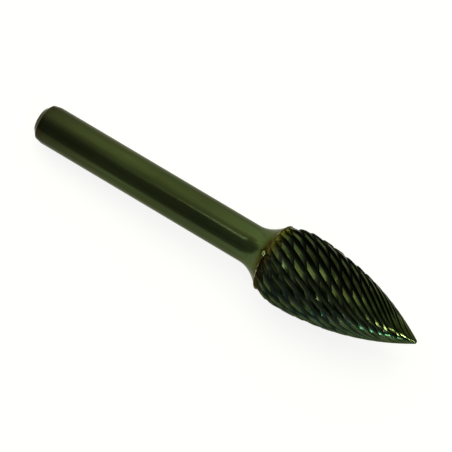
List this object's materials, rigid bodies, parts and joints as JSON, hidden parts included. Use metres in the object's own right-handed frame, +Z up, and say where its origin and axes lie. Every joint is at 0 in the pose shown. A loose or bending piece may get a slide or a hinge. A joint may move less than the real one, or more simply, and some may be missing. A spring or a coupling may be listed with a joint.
{
  "type": "carbide burr",
  "caption": "Pointed-tree carbide burr: fluted, chip-broken cutting head brazed to a plain round steel shank.",
  "frame": {"origin": "on the resting surface, under the middle of the burr's bounding box", "axes": "+X along the burr from the shank's free end to the point of the head, seen from above; +Z up; the burr's own axis rises about 4 degrees towards the head, because it lies on the belly of the head and the end of the shank"},
  "size_m": [0.0698, 0.0126, 0.0127],
  "materials": {
    "shank_steel": "ground and lightly tinted by heat near the braze",
    "silver_solder": "flowed and frozen, tarnished gold to brown",
    "tungsten_carbide": "sintered and diamond-ground, dark grey with bright lands"
  },
  "bodies": {
    "root": {"shank": "shank_steel", "braze_joint": "silver_solder", "cutting_head": "tungsten_carbide"}
  },
  "joints": []
}
